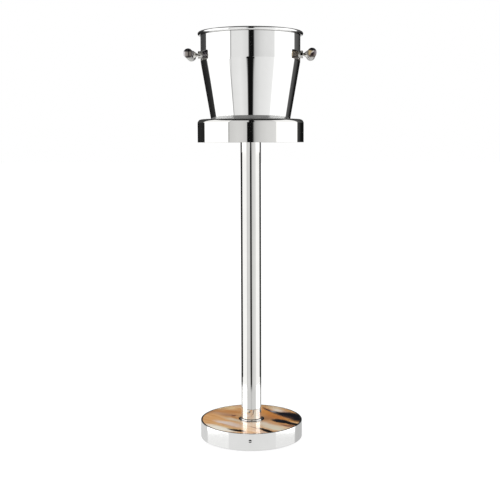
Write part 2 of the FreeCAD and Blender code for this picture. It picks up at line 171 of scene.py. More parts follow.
# ---- Turned meshes ----
def turned(name, spans, segments=SEGMENTS, place=Matrix.Identity(4), slots=None):
    """Mesh of revolution about Z, put in place by a matrix, with exact normals along the outline.

    slots gives each span a material number, or leaves them all on the first material.
    """
    bm = bmesh.new()
    turns = [2 * math.pi * k / segments for k in range(segments)]
    flat = [Vector((math.cos(t), math.sin(t), 0)) for t in turns]
    rings = {}

    def ring(p):
        key = (round(p.x, 7), round(p.y, 7))
        if key not in rings:
            if p.x < TINY:
                rings[key] = [bm.verts.new(place @ Vector((0, 0, p.y)))]
            else:
                rings[key] = [bm.verts.new(place @ (f * p.x + Vector((0, 0, p.y)))) for f in flat]
        return rings[key]

    turn = place.to_3x3()
    normals = []
    for index, (p, pn, q, qn) in enumerate(spans):
        low = ring(p)
        high = ring(q)
        for k in range(segments):
            j = (k + 1) % segments
            quad = [(low, k, pn), (low, j, pn), (high, j, qn), (high, k, qn)]
            if len(low) == 1:
                quad = [(low, 0, pn), (high, j, qn), (high, k, qn)]
            elif len(high) == 1:
                quad = [(low, k, pn), (low, j, pn), (high, 0, qn)]
            face = bm.faces.new([side[i] for side, i, _ in quad])
            face.smooth = True
            face.material_index = slots[index] if slots else 0
            for side, i, n in quad:
                ray = flat[i] if len(side) > 1 else (flat[k] + flat[j]).normalized()
                normals.append(turn @ (ray * n.x + Vector((0, 0, n.y))))
    mesh = bpy.data.meshes.new(name)
    bm.to_mesh(mesh)
    bm.free()
    mesh.normals_split_custom_set(normals)
    piece = bpy.data.objects.new(name, mesh)
    bpy.context.scene.collection.objects.link(piece)
    return piece


def along_y(x, z):
    """Matrix that lays a piece turned about Z along Y, through (x, 0, z)."""
    return Matrix.Translation((x, 0, z)) @ Matrix.Rotation(-math.pi / 2, 4, "X")


def shown(piece, body, slot, materials, *nodes):
    """Rides a piece on its body in place of CAD nodes, with its materials."""
    for material in materials:
        piece.data.materials.append(material)
    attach(piece, body)
    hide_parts(*nodes)
    return piece


# ---- Node trees ----
class Tree:
    """Shorthand for building a node tree: add() makes a node, links its inputs and returns an output."""

    def __init__(self, owner):
        owner.use_nodes = True
        self.tree = owner.node_tree
        self.tree.nodes.clear()

    def add(self, kind, inputs=None, output=0, **settings):
        node = self.tree.nodes.new(kind)
        for key, value in settings.items():
            setattr(node, key, value)
        for key, value in (inputs or {}).items():
            self.put(node.inputs[key], value)
        return node.outputs[output] if node.outputs else node

    def put(self, socket, value):
        if isinstance(value, bpy.types.NodeSocket):
            self.tree.links.new(value, socket)
        elif socket.type == "RGBA" and len(value) == 3:
            socket.default_value = (*value, 1)
        else:
            socket.default_value = value

    def math(self, operation, a, b=0.0, c=0.0, clamp=False):
        inputs = {0: a, 1: b, 2: c}
        return self.add("ShaderNodeMath", inputs, operation=operation, use_clamp=clamp)

    def vector(self, operation, a, b=(0, 0, 0)):
        return self.add("ShaderNodeVectorMath", {0: a, 1: b}, operation=operation)

    def length(self, a):
        return self.add("ShaderNodeVectorMath", {0: a}, 1, operation="LENGTH")

    def split(self, a):
        """The X, Y and Z outputs of a vector."""
        node = self.tree.nodes.new("ShaderNodeSeparateXYZ")
        self.put(node.inputs[0], a)
        return node.outputs

    def mix(self, factor, a, b, blend="MIX"):
        node = self.tree.nodes.new("ShaderNodeMix")
        node.data_type = "RGBA"
        node.blend_type = blend
        node.clamp_factor = True
        self.put(node.inputs[0], factor)
        self.put(node.inputs[6], a)
        self.put(node.inputs[7], b)
        return node.outputs[2]

    def ramp(self, factor, stops, interpolation="LINEAR"):
        node = self.tree.nodes.new("ShaderNodeValToRGB")
        node.color_ramp.interpolation = interpolation
        elements = node.color_ramp.elements
        for position, _ in stops[2:]:
            elements.new(position)
        for element, (position, colour) in zip(elements, stops):
            element.position = position
            element.color = (*colour, 1) if hasattr(colour, "__len__") else (colour, colour, colour, 1)
        self.put(node.inputs[0], factor)
        return node.outputs[0]

    def step(self, value, low, high):
        """0 at low, 1 at high, smooth between."""
        inputs = {0: value, 1: low, 2: high}
        return self.add("ShaderNodeMapRange", inputs, interpolation_type="SMOOTHSTEP")

    def noise(self, vector, scale, detail=3.0, roughness=0.5, output=0):
        inputs = {"Vector": vector, "Scale": scale, "Detail": detail, "Roughness": roughness}
        return self.add("ShaderNodeTexNoise", inputs, output)

    def place(self, scale=(1, 1, 1), turn=0.0, shift=(0, 0, 0)):
        """Object coordinates in metres, shifted, turned about Z by degrees, then scaled."""
        point = self.add("ShaderNodeTexCoord", output=3)
        point = self.vector("SUBTRACT", point, shift)
        axis = {"Vector": point, "Angle": math.radians(turn)}
        point = self.add("ShaderNodeVectorRotate", axis, rotation_type="Z_AXIS")
        return self.vector("MULTIPLY", point, scale)

    def bump(self, height, distance, strength=1.0):
        inputs = {"Strength": strength, "Distance": distance, "Height": height}
        return self.add("ShaderNodeBump", inputs)

    def surface(self, **inputs):
        """Principled shader to the output; a keyword's underscores stand for spaces."""
        named = {key.replace("_", " "): value for key, value in inputs.items()}
        shader = self.add("ShaderNodeBsdfPrincipled", named)
        self.add("ShaderNodeOutputMaterial", {"Surface": shader})


def material(name):
    """A new material and its node tree."""
    found = bpy.data.materials.new(name)
    return found, Tree(found)


# ---- Materials ----
def polished_steel(name, bright, dull):
    """Mirror-polished steel with faint buffing lines and wiped smudges."""
    found, t = material(name)
    buffing = t.noise(t.place((60, 60, 900)), 1.0, 2.0)
    smudges = t.noise(t.place(), 34.0, 4.0, 0.6)
    wiped = t.step(smudges, 0.52, 0.74)
    rough = t.math("MULTIPLY_ADD", buffing, 0.018, 0.018)
    rough = t.math("MULTIPLY_ADD", wiped, 0.022, rough)
    tone = t.ramp(smudges, [(0.3, bright), (0.7, dull)])
    t.surface(Base_Color=tone, Metallic=1.0, Roughness=rough, Normal=t.bump(buffing, 0.000004))
    return found


def satin_steel():
    """Inside of the bucket: steel brushed round its axis, with fine scratches."""
    found, t = material("satin_steel_look")
    lines = t.noise(t.place((14, 14, 2600)), 1.0, 4.0, 0.65)
    scratches = t.noise(t.place(), 160.0, 5.0, 0.7)
    rough = t.math("MULTIPLY_ADD", lines, 0.14, 0.13)
    rough = t.math("MULTIPLY_ADD", scratches, 0.05, rough)
    tone = t.ramp(lines, [(0.3, (0.74, 0.74, 0.73)), (0.7, (0.86, 0.86, 0.85))])
    normal = t.bump(lines, 0.00002)
    t.surface(Base_Color=tone, Metallic=0.7, Roughness=rough, Normal=normal, Anisotropic=0.5)
    return found


def shaded_ring_steel():
    """Top of the holder: satin steel with turned lines, its tone kept dark to paint the shade under the
    bucket's skirt.
    """
    found, t = material("shaded_ring_steel_look")
    lines = t.noise(t.place((30, 30, 30)), 6.0, 4.0, 0.6)
    rough = t.math("MULTIPLY_ADD", lines, 0.12, 0.30)
    # the dark tones are painted shade under the bucket's skirt
    tone = t.ramp(lines, [(0.3, (0.17, 0.17, 0.17)), (0.7, (0.24, 0.24, 0.235))])
    t.surface(Base_Color=tone, Metallic=1.0, Roughness=rough, Normal=t.bump(lines, 0.00003))
    return found


def painted_shade_steel():
    """Narrow strips under the rolled rim and round the tube's foot, painted dark as the shade in those
    joints.
    """
    found, t = material("painted_shade_steel_look")
    spots = t.noise(t.place(), 260.0, 4.0, 0.6)
    tone = t.ramp(spots, [(0.3, (0.05, 0.05, 0.05)), (0.7, (0.16, 0.155, 0.15))])
    t.surface(Base_Color=tone, Metallic=1.0, Roughness=0.4, Normal=t.bump(spots, 0.00002))
    return found


def srgb(red, green, blue):
    """Linear colour of an 8-bit display colour."""
    return tuple(((c / 255 + 0.055) / 1.055) ** 2.4 if c > 10 else c / 3294 for c in (red, green, blue))


def streaks(t, tone, point, patches, ragged_by):
    """Lays soft-edged ellipses over a tone; point holds its two coordinates in X and Y, in metres.

    A patch is: centre, half sizes (mm), turn in degrees, edge softness, strength, colour.
    """
    for centre, half, turn, soft, strength, colour in patches:
        local = t.vector("SUBTRACT", point, (centre[0] * MM, centre[1] * MM, 0))
        turned_back = {"Vector": local, "Angle": math.radians(-turn)}
        local = t.add("ShaderNodeVectorRotate", turned_back, rotation_type="Z_AXIS")
        local = t.vector("MULTIPLY", local, (1 / (half[0] * MM), 1 / (half[1] * MM), 0))
        away = t.math("ADD", t.length(local), ragged_by)
        mask = t.math("SUBTRACT", 1.0, t.step(away, 1 - soft, 1 + soft))
        tone = t.mix(t.math("MULTIPLY", mask, strength), tone, srgb(*colour))
    return tone


# Streaks of the inlay, as streaks() takes them.
# The grain runs from the back left to the front right.
STREAKS = [
    ((-48, 48), (34, 15), -14, 0.8, 0.9, (190, 132, 78)),
    ((-52, 84), (30, 14), 18, 0.8, 0.8, (222, 196, 150)),
    ((-34, 97), (16, 9), -20, 0.8, 0.7, (202, 160, 130)),
    ((-66, 34), (26, 9), -28, 0.9, 0.7, (176, 142, 118)),
    ((-50, 23), (16, 7), -12, 0.8, 0.6, (150, 112, 90)),
    ((-41, 19), (4.5, 5), -20, 0.7, 0.9, (104, 48, 40)),
    ((-84, -6), (24, 34), 20, 0.9, 0.8, (216, 164, 108)),
    ((-94, 42), (18, 6), 50, 0.8, 0.5, (150, 108, 78)),
    ((-70, 66), (22, 5), 42, 0.8, 0.5, (164, 118, 78)),
    ((-36, -12), (27, 7), -40, 0.8, 0.85, (216, 202, 178)),
    ((-58, -30), (20, 8), -35, 0.8, 0.85, (222, 210, 204)),
    ((-34, -48), (22, 10), -38, 0.8, 0.8, (218, 203, 194)),
    ((-46, -66), (34, 6), -33, 0.9, 0.7, (204, 168, 108)),
    ((-62, -70), (36, 11), -37, 0.7, 1.0, (238, 234, 222)),
    ((-6, -72), (18, 16), -35, 0.9, 0.8, (220, 184, 144)),
    ((0, -40), (22, 20), -35, 0.9, 0.7, (226, 204, 180)),
    ((8, -66), (12, 2.6), -48, 0.8, 0.8, (120, 90, 76)),
    ((32, -38), (28, 15), -36, 0.8, 0.95, (222, 210, 192)),
    ((26, -58), (22, 9), -34, 0.8, 0.8, (212, 176, 140)),
    ((24, -92), (20, 7), -30, 0.9, 0.8, (222, 198, 180)),
    ((56, -70), (30, 13), -38, 0.9, 1.0, (216, 208, 188)),
    ((33, 2), (17, 22), -50, 0.8, 0.8, (164, 112, 72)),
    ((34, 48), (26, 15), -58, 0.8, 0.9, (206, 136, 60)),
    ((56, 10), (34, 13), -42, 0.8, 0.9, (186, 116, 56)),
    ((50, -34), (22, 8), -40, 0.9, 0.7, (194, 136, 84)),
    ((34, 92), (28, 10), -34, 0.9, 0.8, (188, 140, 84)),
    ((56, 76), (24, 9), -40, 0.8, 0.8, (216, 200, 172)),
    ((58, 58), (16, 7), -42, 0.8, 0.9, (226, 218, 206)),
    ((76, 62), (16, 9), -46, 0.8, 0.8, (188, 140, 88)),
    ((72, 48), (12, 5), -30, 0.8, 0.7, (202, 158, 134)),
    ((38, 62), (24, 4.4), -58, 0.6, 1.0, (78, 60, 60)),
    ((52, 47), (12, 4.5), -50, 0.7, 0.9, (150, 162, 176)),
    ((82, 29), (36, 16), -22, 0.35, 1.0, (20, 22, 32)),
    ((98, 6), (40, 15), -66, 0.40, 1.0, (18, 18, 24)),
    ((78, 14), (22, 7), -42, 0.5, 0.9, (40, 30, 34)),
    ((84, -14), (22, 3.2), -40, 0.6, 0.8, (196, 140, 74)),
    ((92, -16), (16, 3), -44, 0.6, 0.8, (70, 42, 34)),
    ((63, -18), (23, 11.5), -37, 0.32, 1.0, (22, 25, 33)),
    ((84, -36), (24, 7), -42, 0.35, 1.0, (14, 14, 18)),
    ((76, -52), (16, 5), -46, 0.7, 0.8, (112, 76, 74)),
    ((88, -54), (12, 3.5), -46, 0.7, 0.8, (96, 44, 42)),
    ((-27, -85), (18, 7.0), -35, 0.30, 1.0, (12, 11, 12)),
    ((-36, -78), (10, 2.4), -30, 0.6, 0.9, (60, 52, 48)),
    ((35, -84), (18, 7.0), -40, 0.30, 1.0, (13, 11, 11)),
    ((23, -74), (10, 4.0), -38, 0.5, 1.0, (30, 22, 20)),
]


def trumpet_steel(word):
    """Steel of a handle's boss and stem, darker above the bar's axis than below."""
    found, t = material("trumpet_look_" + word)
    low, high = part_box("handle_bar_" + word)
    height = t.split(t.place(shift=(0, 0, (low.z + high.z) / 2)))[2]
    spots = t.noise(t.place(), 420.0, 4.0, 0.6)
    # darker above the bar's axis, lighter below
    above = t.step(height, -1.0 * MM, 1.5 * MM)
    upper_tone = t.ramp(spots, [(0.3, (0.26, 0.25, 0.23)), (0.7, (0.42, 0.41, 0.38))])
    lower_tone = t.ramp(spots, [(0.3, (0.60, 0.59, 0.56)), (0.7, (0.80, 0.79, 0.77))])
    tone = t.mix(above, lower_tone, upper_tone)
    rough = t.math("MULTIPLY_ADD", spots, 0.06, 0.03)
    t.surface(Base_Color=tone, Metallic=1.0, Roughness=rough, Normal=t.bump(spots, 0.00001))
    return found


def horn_inlay():
    """Polished ox horn: amber and tan layers with cream and black streaks along the grain, and painted shade
    at its outer edge and round the foot ring.
    """
    found, t = material("horn_inlay_look")
    point = t.place()
    wander = t.noise(t.place(), 22.0, 4.0, 0.55, 1)
    wander = t.vector("SUBTRACT", wander, (0.5, 0.5, 0.5))
    wander = t.vector("MULTIPLY", wander, (0.016, 0.016, 0.0))
    fibre_place = t.vector("ADD", t.place(), wander)
    fibre_place = t.add("ShaderNodeVectorRotate", {"Vector": fibre_place, "Angle": math.radians(38)},
                        rotation_type="Z_AXIS")
    coarse = t.noise(t.vector("MULTIPLY", fibre_place, (16, 110, 1)), 1.0, 4.0, 0.55)
    fine = t.noise(t.vector("MULTIPLY", fibre_place, (50, 900, 1)), 1.0, 5.0, 0.6)
    layers = [
        (0.30, srgb(176, 122, 76)), (0.42, srgb(206, 152, 98)), (0.55, srgb(218, 172, 122)),
        (0.68, srgb(228, 196, 158)),
    ]
    tone = t.ramp(coarse, layers)
    bent = t.vector("ADD", point, wander)
    ragged = t.math("MULTIPLY", t.math("SUBTRACT", coarse, 0.5), -1.1)
    ragged = t.math("MULTIPLY_ADD", t.math("SUBTRACT", fine, 0.5), -0.5, ragged)
    tone = streaks(t, tone, bent, STREAKS, ragged)
    darker = t.ramp(fine, [(0.3, (0.93, 0.91, 0.89)), (0.7, (1.0, 1.0, 1.0))])
    tone = t.mix(1.0, tone, darker, "MULTIPLY")
    # painted shade: dark lines at the inlay's outer edge and round the foot ring, where its joints fall in
    # shade
    away = t.length(t.vector("MULTIPLY", point, (1, 1, 0)))
    rim = t.step(away, OUTER_SHADE_LINE - 0.4 * MM, OUTER_SHADE_LINE + 0.2 * MM)
    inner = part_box("column_foot_ring")[1].x + FOOT_SHADE_WIDTH
    rim = t.math("MAXIMUM", rim, t.step(away, inner + 0.3 * MM, inner - 0.3 * MM))
    tone = t.mix(rim, tone, (0.012, 0.011, 0.012))
    t.surface(Base_Color=tone, Roughness=0.05, IOR=2.1, Normal=t.bump(fine, 0.00002, 0.3))
    return found


# Patches of the two bars, seen from the front; they run the length of the bar. The black patches on top, the
# near-white ones at the outer sides and the pale ones underneath are painted reflections; the rest is the
# horn's mottling.
LEFT_STREAKS_AND_REFLECTIONS = [
    # painted highlight on the outer side
    ((-8.2, -2.0), (3.4, 6.5), 0, 0.5, 1.0, (228, 226, 230)),
    ((-3.8, -2.0), (2.6, 6.0), 0, 0.6, 0.9, (152, 144, 140)),
    ((0.8, -2.0), (1.3, 7.5), 2, 0.6, 1.0, (40, 30, 38)),
    ((5.0, -1.5), (3.4, 5.5), -10, 0.7, 0.9, (108, 102, 96)),
    ((9.5, 0.0), (2.6, 9.0), 0, 0.5, 1.0, (52, 44, 54)),
    ((9.6, -1.0), (1.4, 2.0), 0, 0.6, 0.9, (160, 156, 160)),
    # painted reflection: black cap on top
    ((-0.5, 8.0), (13.0, 5.4), 0, 0.18, 1.0, (12, 9, 14)),
    ((1.0, -7.8), (6.5, 2.4), 10, 0.5, 1.0, (52, 44, 50)),
    # painted reflection underneath
    ((3.0, -12.0), (9.0, 3.2), 0, 0.2, 1.0, (178, 180, 166)),
]
RIGHT_STREAKS_AND_REFLECTIONS = [
    ((-5.2, 0.6), (5.0, 6.4), 10, 0.5, 1.0, (192, 172, 132)),
    ((1.4, -2.2), (7.4, 3.4), 42, 0.45, 1.0, (40, 26, 28)),
    ((1.4, 1.8), (5.0, 0.9), 40, 0.7, 0.9, (226, 220, 214)),
    ((6.2, 1.4), (3.0, 5.6), 0, 0.7, 0.9, (136, 128, 132)),
    # painted highlight on the outer side
    ((9.6, -0.5), (2.2, 7.0), 0, 0.6, 1.0, (200, 196, 202)),
    ((-10.4, -0.5), (3.2, 8.0), 0, 0.4, 1.0, (122, 112, 102)),
    ((-9.8, -7.0), (2.4, 3.0), 0, 0.6, 1.0, (44, 34, 36)),
    # painted reflection: black cap on top
    ((0.0, 8.6), (12.6, 5.2), 0, 0.18, 1.0, (12, 9, 14)),
    ((-1.0, -7.9), (6.0, 2.2), -10, 0.5, 1.0, (62, 48, 50)),
    # painted reflection underneath
    ((1.0, -12.0), (9.0, 3.2), 0, 0.2, 1.0, (176, 170, 160)),
]


def horn_bar(name, word, base, patches):
    """Polished mottled horn for a bar along Y, with a pale base and painted reflections laid over the
    mottling.
    """
    found, t = material(name)
    low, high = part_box("handle_bar_" + word)
    axis = ((low.x + high.x) / 2, 0, (low.z + high.z) / 2)
    wander = t.noise(t.place((70, 10, 70)), 1.0, 4.0, 0.6, 1)
    wander = t.vector("MULTIPLY", t.vector("SUBTRACT", wander, (0.5, 0.5, 0.5)), (0.004, 0, 0.004))
    point = t.vector("ADD", t.place(shift=axis), wander)
    upright = {"Vector": point, "Angle": math.radians(-90)}
    section = t.add("ShaderNodeVectorRotate", upright, rotation_type="X_AXIS")
    fibres = t.noise(t.place((1400, 30, 1400)), 1.0, 4.0, 0.6)
    ragged = t.math("MULTIPLY", t.math("SUBTRACT", fibres, 0.5), 0.5)
    tone = t.ramp(fibres, [(0.3, srgb(*(c * 0.8 for c in base))), (0.7, srgb(*base))])
    tone = streaks(t, tone, section, patches, ragged)
    darker = t.ramp(fibres, [(0.3, (0.62, 0.61, 0.60)), (0.7, (0.78, 0.78, 0.78))])
    tone = t.mix(1.0, tone, darker, "MULTIPLY")
    t.surface(Base_Color=tone, Roughness=0.08, IOR=1.3, Coat_Weight=0.25, Coat_Roughness=0.02,
              Normal=t.bump(fibres, 0.00001, 0.3))
    return found


def screw_steel():
    """Blackened screw with a painted highlight: a band of bright steel over its slot."""
    found, t = material("screw_steel_look")
    low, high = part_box("band_screw")
    slot_height = (low.z + high.z) / 2 - SLOT_DROP
    height = t.split(t.place(shift=(0, 0, slot_height)))[2]
    # painted highlight: bright bare steel in a band over the slot, for the light off the slot's lower face
    slot_highlight = t.step(t.math("ABSOLUTE", height), *SLOT_HALF)
    spots = t.noise(t.place(), 900.0, 3.0)
    dark = t.ramp(spots, [(0.3, (0.006, 0.006, 0.007)), (0.7, (0.014, 0.014, 0.015))])
    tone = t.mix(slot_highlight, dark, (0.88, 0.88, 0.87))
    rough = t.math("MULTIPLY_ADD", slot_highlight, -0.2, 0.42)
    t.surface(Base_Color=tone, Metallic=slot_highlight, Roughness=rough, IOR=1.2, Normal=t.bump(spots, 0.00002))
    return found


def cast_iron():
    """Grey cast iron with a sandy skin and a little rust."""
    found, t = material("cast_iron_look")
    sand = t.noise(t.place(), 700.0, 4.0, 0.6)
    rust = t.step(t.noise(t.place(), 30.0, 5.0, 0.6), 0.56, 0.70)
    tone = t.mix(rust, (0.09, 0.09, 0.092), (0.16, 0.075, 0.035))
    rough = t.math("MULTIPLY_ADD", rust, 0.25, 0.55)
    t.surface(Base_Color=tone, Metallic=0.6, Roughness=rough, Normal=t.bump(sand, 0.0003, 0.8))
    return found


def zinc():
    """Zinc-plated screws and nuts, bluish with a dull bloom."""
    found, t = material("zinc_look")
    bloom = t.noise(t.place(), 300.0, 3.0)
    tone = t.ramp(bloom, [(0.35, (0.62, 0.65, 0.70)), (0.65, (0.78, 0.79, 0.76))])
    rough = t.math("MULTIPLY_ADD", bloom, 0.2, 0.22)
    t.surface(Base_Color=tone, Metallic=1.0, Roughness=rough, Normal=t.bump(bloom, 0.00003))
    return found


def plate():
    """Brushed steel plate with straight lines along X."""
    found, t = material("plate_look")
    lines = t.noise(t.place((12, 1800, 12)), 1.0, 4.0, 0.65)
    tone = t.ramp(lines, [(0.3, (0.50, 0.50, 0.49)), (0.7, (0.66, 0.66, 0.65))])
    rough = t.math("MULTIPLY_ADD", lines, 0.18, 0.25)
    t.surface(Base_Color=tone, Metallic=1.0, Roughness=rough, Normal=t.bump(lines, 0.00003))
    return found


def board():
    """Birch backing board with fine grain."""
    found, t = material("board_look")
    grain = t.noise(t.place((20, 500, 60)), 1.0, 5.0, 0.6)
    tone = t.ramp(grain, [(0.3, (0.42, 0.26, 0.13)), (0.7, (0.62, 0.44, 0.25))])
    t.surface(Base_Color=tone, Roughness=0.6, Normal=t.bump(grain, 0.0001))
    return found


def felt():
    """Black wool felt with loose fibres."""
    found, t = material("felt_look")
    fluff = t.noise(t.place(), 1500.0, 5.0, 0.7)
    tone = t.ramp(fluff, [(0.3, (0.008, 0.008, 0.009)), (0.7, (0.035, 0.035, 0.038))])
    t.surface(Base_Color=tone, Roughness=0.95, Sheen_Weight=0.4, Normal=t.bump(fluff, 0.0004))
    return found


def rubber():
    """Black moulded rubber with a fine matt skin."""
    found, t = material("rubber_look")
    skin = t.noise(t.place(), 2200.0, 3.0)
    tone = t.ramp(skin, [(0.3, (0.012, 0.012, 0.012)), (0.7, (0.028, 0.028, 0.028))])
    t.surface(Base_Color=tone, Roughness=0.62, Normal=t.bump(skin, 0.00005))
    return found


STEEL = polished_steel("polished_steel_look", (0.93, 0.93, 0.92), (0.90, 0.90, 0.89))
STAND = polished_steel("stand_steel_look", (0.79, 0.785, 0.765), (0.76, 0.755, 0.735))
SATIN = satin_steel()
SHADED_RING = shaded_ring_steel()
PAINTED_SHADE = painted_shade_steel()
HORN = horn_inlay()
# the bars' pale grey bases stand partly for painted reflections along their sides
LEFT_BAR = horn_bar("left_bar_look", "left", (150, 146, 136), LEFT_STREAKS_AND_REFLECTIONS)
RIGHT_BAR = horn_bar("right_bar_look", "right", (140, 130, 118), RIGHT_STREAKS_AND_REFLECTIONS)
CARRIED = {
    "polished_steel": STEEL,
    "horn_inlay": HORN,
    "iron_core": cast_iron(),
    "zinc_fastener": zinc(),
    "cover_plate": plate(),
    "backing_board": board(),
    "black_felt": felt(),
    "black_rubber": rubber(),
}


# ---- Base and column ----
def base_band():
    """Ring round the base, with rounded edges."""
    low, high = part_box("base_band")
    outer = high.x
    inner = outer - BAND_WALL
    corners = [(inner, low.z), (outer, low.z), (outer, high.z), (inner, high.z)]
    spans = outline(corners, {1: BAND_EDGE, 2: BAND_EDGE, 3: BAND_EDGE / 2})
    shown(turned("base_ring", spans), "stand", "polished_steel", [STEEL], "base_band")


def horn_disc():
    """Horn in the top of the base, with a hole for the tube."""
    low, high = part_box("horn_disc")
    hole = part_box("column_tube")[1].x + HORN_GAP
    corners = [(hole, low.z), (high.x, low.z), (high.x, high.z), (hole, high.z)]
    spans = outline(corners, {2: HORN_EDGE})
    shown(turned("horn_top", spans), "stand", "horn_inlay", [HORN], "horn_disc")


def column_tube():
    """Tube, with a strip of painted shade where it meets the foot ring."""
    low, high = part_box("column_tube")
    inner = high.x - COLUMN_WALL
    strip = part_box("column_foot_ring")[1].z
    corners = [
        (inner, low.z), (high.x, low.z), (high.x, strip), (high.x, strip + FOOT_LINE),
        (high.x, high.z), (inner, high.z),
    ]
    # slot 1 is the painted shade over the foot ring
    piece = turned("column", outline(corners), slots=[0, 0, 1, 0, 0, 0])
    shown(piece, "stand", "polished_steel", [STAND, PAINTED_SHADE], "column_tube")


def foot_ring():
    """Small ring round the foot of the tube."""
    low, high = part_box("column_foot_ring")
    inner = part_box("column_tube")[1].x + RING_GAP
    corners = [(inner, low.z), (high.x, low.z), (high.x, high.z), (inner, high.z)]
    spans = outline(corners, {1: RING_EDGE / 2, 2: RING_EDGE})
    shown(turned("foot_ring", spans), "stand", "polished_steel", [STEEL], "column_foot_ring")


# ---- Holder ----
def holder():
    """Drum with a rounded shoulder, and a top ring that turns down into a lip; the top is satin steel with
    painted shade.
    """
    low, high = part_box("holder_shell")
    hole = high.x - RING_WIDTH
    outside = [(high.x, low.z), (high.x, high.z), (hole, high.z), (hole, high.z - LIP_DEPTH)]
    inside = offset_line(outside, HOLDER_WALL)
    rounds = {
        1: SHOULDER_RADIUS,
        2: LIP_RADIUS,
        5: LIP_RADIUS - HOLDER_WALL,
        6: SHOULDER_RADIUS - HOLDER_WALL,
    }
    spans = outline(outside + inside[::-1], rounds)
    polish_end = high.z - SHOULDER_RADIUS * (1 - math.sin(math.radians(RING_POLISH)))

    # the top's faces get the satin steel with painted shade
    def dull(p, p_normal, q, q_normal):
        return min(p.y, q.y) > polish_end - TINY and max(p_normal.y, q_normal.y) > SHADED_TOP_TILT

    slots = [1 if dull(*span) else 0 for span in spans]
    piece = turned("holder_drum", spans, slots=slots)
    shown(piece, "stand", "polished_steel", [STAND, SHADED_RING], "holder_shell")


# ---- Bucket ----
def bucket():
    """Cone below an upright wall with a rolled rim; satin inside, with painted shade right under the rim."""
    low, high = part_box("bucket_shell")
    bend = high.z - UPRIGHT_HEIGHT
    bead_height = high.z - BEAD_RADIUS
    wall = high.x - 2 * BEAD_RADIUS + SHEET
    foot = wall - (bend - low.z) * math.tan(CONE_ANGLE)
    step = foot - FOOT_WIDTH
    outside = [
        (0, low.z + FOOT_HEIGHT),
        (step - FOOT_SLOPE, low.z + FOOT_HEIGHT),
        (step, low.z),
        (foot, low.z),
        (wall, bend),
        (wall, bead_height),
    ]
    inside = offset_line(outside, SHEET)[::-1]
    inside[-1].x = 0
    small = FOOT_HEIGHT / 2
    outside.insert(5, (wall, bead_height - BEAD_RADIUS - CREVICE))
    outer = outline(outside, {1: small + SHEET, 2: small, 3: FOOT_RADIUS, 4: BEND_RADIUS}, False)
    rounds = {1: BEND_RADIUS - SHEET, 2: FOOT_RADIUS - SHEET, 3: small + SHEET, 4: small}
    inner = outline(inside, rounds, False)
    centre = (wall - SHEET + BEAD_RADIUS, bead_height)
    roll_in = arc(centre, BEAD_RADIUS - SHEET, 180, BEAD_END, outward=False)
    roll_out = arc(centre, BEAD_RADIUS, BEAD_END, 180)
    end = straight(roll_in[-1][2], roll_out[0][0])
    spans = outer + roll_in + end + roll_out + inner
    rolled = len(roll_in) + len(end) + len(roll_out)
    # slot 2 is the painted shade under the rolled rim
    slots = [0] * (len(outer) - 1) + [2] + [0] * rolled + [1] * len(inner)
    piece = turned("bucket", spans, slots=slots)
    shown(piece, "bucket", "polished_steel", [STEEL, SATIN, PAINTED_SHADE], "bucket_shell")


def handle_bar(word):
    """Horn bar along Y, with domed ends and rounded edges."""
    low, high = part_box("handle_bar_" + word)
    radius = (high.z - low.z) / 2
    half = high.y
    ball = (radius ** 2 + BAR_DOME ** 2) / (2 * BAR_DOME)
    rise = math.sqrt((ball - BAR_EDGE) ** 2 - (radius - BAR_EDGE) ** 2)
    edge = half - ball + rise
    angle = math.degrees(math.atan2(rise, radius - BAR_EDGE))
    spans = arc((0, ball - half), ball, -90, -angle)
    spans += arc((radius - BAR_EDGE, -edge), BAR_EDGE, -angle, 0)
    spans += straight((radius, -edge), (radius, edge))
    spans += arc((radius - BAR_EDGE, edge), BAR_EDGE, 0, angle)
    spans += arc((0, half - ball), ball, angle, 90)
    place = along_y((low.x + high.x) / 2, (low.z + high.z) / 2)
    piece = turned("horn_bar_" + word, spans, FEW_SEGMENTS, place)
    look = RIGHT_BAR if word == "right" else LEFT_BAR
    shown(piece, "bucket", "horn_dark", [look], "handle_bar_" + word)


def carried_looks():
    """Gives the CAD nodes that are carried over their materials."""
    for node in NODES.values():
        for slot in node.material_slots:
            slot.material = CARRIED.get(slot.material.name, slot.material)
    NODES["band_screw"].material_slots[0].material = screw_steel()
    for word in SIDES:
        trumpet = trumpet_steel(word)
        for part in ("handle_boss_", "handle_stem_"):
            NODES[part + word].material_slots[0].material = trumpet


base_band()
horn_disc()
column_tube()
foot_ring()
holder()
bucket()
for side_word in SIDES:
    handle_bar(side_word)
carried_looks()


# ---- Studio ----
# Greys of the reflected studio. Lists hold (degrees to the right of the camera, grey).
DARK_SIDES = [
    (-180, 0.008), (-152, 0.018), (-143, 0.018), (-135, 0.022), (-124, 0.032),
    (122, 0.105), (135, 0.074), (143, 0.022), (152, 0.006), (180, 0.006),
]
DRUM_SIDES = [
    (-180, 0.016), (-152, 0.013), (-143, 0.028), (-124, 0.022),
    (122, 0.06), (134, 0.030), (139, 0.008), (156, 0.009), (180, 0.010),
]
WALL_SIDES = [
    (-180, 0.03), (-156, 0.065), (-142, 0.055), (-126, 0.075),
    (122, 0.13), (141, 0.085), (156, 0.032), (180, 0.02),
]
TWICE_SIDES = [(-180, 0.50), (-120, 0.52), (118, 0.26), (180, 0.20)]

